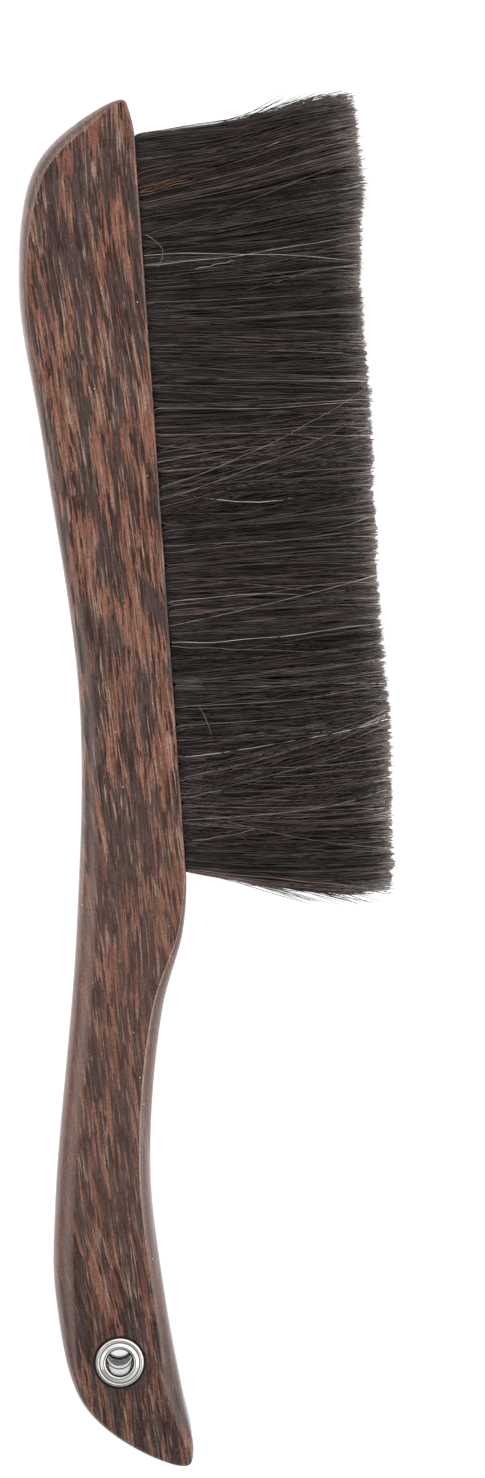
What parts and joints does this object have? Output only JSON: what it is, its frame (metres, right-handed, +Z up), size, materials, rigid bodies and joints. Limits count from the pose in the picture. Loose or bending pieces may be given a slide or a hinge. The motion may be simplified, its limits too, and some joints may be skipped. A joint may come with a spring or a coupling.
{
  "type": "neck duster brush",
  "caption": "Long hand brush with a curved wooden handle, a deep row of soft dark hair along one side of its head, and a metal eyelet in the handle to hang it by.",
  "frame": {"origin": "on the table, on the underside of the wooden head, level with the middle of the bristle face and 12 mm behind it", "axes": "+Z up through the thickness of the board, +Y along the bristle face from the handle towards the tip of the head, +X the way the hair points"},
  "size_m": [0.0864, 0.3082, 0.0233],
  "materials": {
    "wood": "dark striped hardwood under satin lacquer",
    "hair": "soft dark horse hair",
    "nickel": "polished nickel plate"
  },
  "bodies": {
    "root": {"wooden_handle": "wood", "tuft_lower_01": "hair", "tuft_lower_02": "hair", "tuft_lower_03": "hair", "tuft_lower_04": "hair", "tuft_lower_05": "hair", "tuft_lower_06": "hair", "tuft_lower_07": "hair", "tuft_lower_08": "hair", "tuft_lower_09": "hair", "tuft_lower_10": "hair", "tuft_lower_11": "hair", "tuft_lower_12": "hair", "tuft_lower_13": "hair", "tuft_lower_14": "hair", "tuft_lower_15": "hair", "tuft_lower_16": "hair", "tuft_lower_17": "hair", "tuft_lower_18": "hair", "tuft_lower_19": "hair", "tuft_middle_01": "hair", "tuft_middle_02": "hair", "tuft_middle_03": "hair", "tuft_middle_04": "hair", "tuft_middle_05": "hair", "tuft_middle_06": "hair", "tuft_middle_07": "hair", "tuft_middle_08": "hair", "tuft_middle_09": "hair", "tuft_middle_10": "hair", "tuft_middle_11": "hair", "tuft_middle_12": "hair", "tuft_middle_13": "hair", "tuft_middle_14": "hair", "tuft_middle_15": "hair", "tuft_middle_16": "hair", "tuft_middle_17": "hair", "tuft_middle_18": "hair", "tuft_upper_01": "hair", "tuft_upper_02": "hair", "tuft_upper_03": "hair", "tuft_upper_04": "hair", "tuft_upper_05": "hair", "tuft_upper_06": "hair", "tuft_upper_07": "hair", "tuft_upper_08": "hair", "tuft_upper_09": "hair", "tuft_upper_10": "hair", "tuft_upper_11": "hair", "tuft_upper_12": "hair", "tuft_upper_13": "hair", "tuft_upper_14": "hair", "tuft_upper_15": "hair", "tuft_upper_16": "hair", "tuft_upper_17": "hair", "tuft_upper_18": "hair", "tuft_upper_19": "hair", "front_eyelet": "nickel", "rear_eyelet": "nickel"}
  },
  "joints": []
}
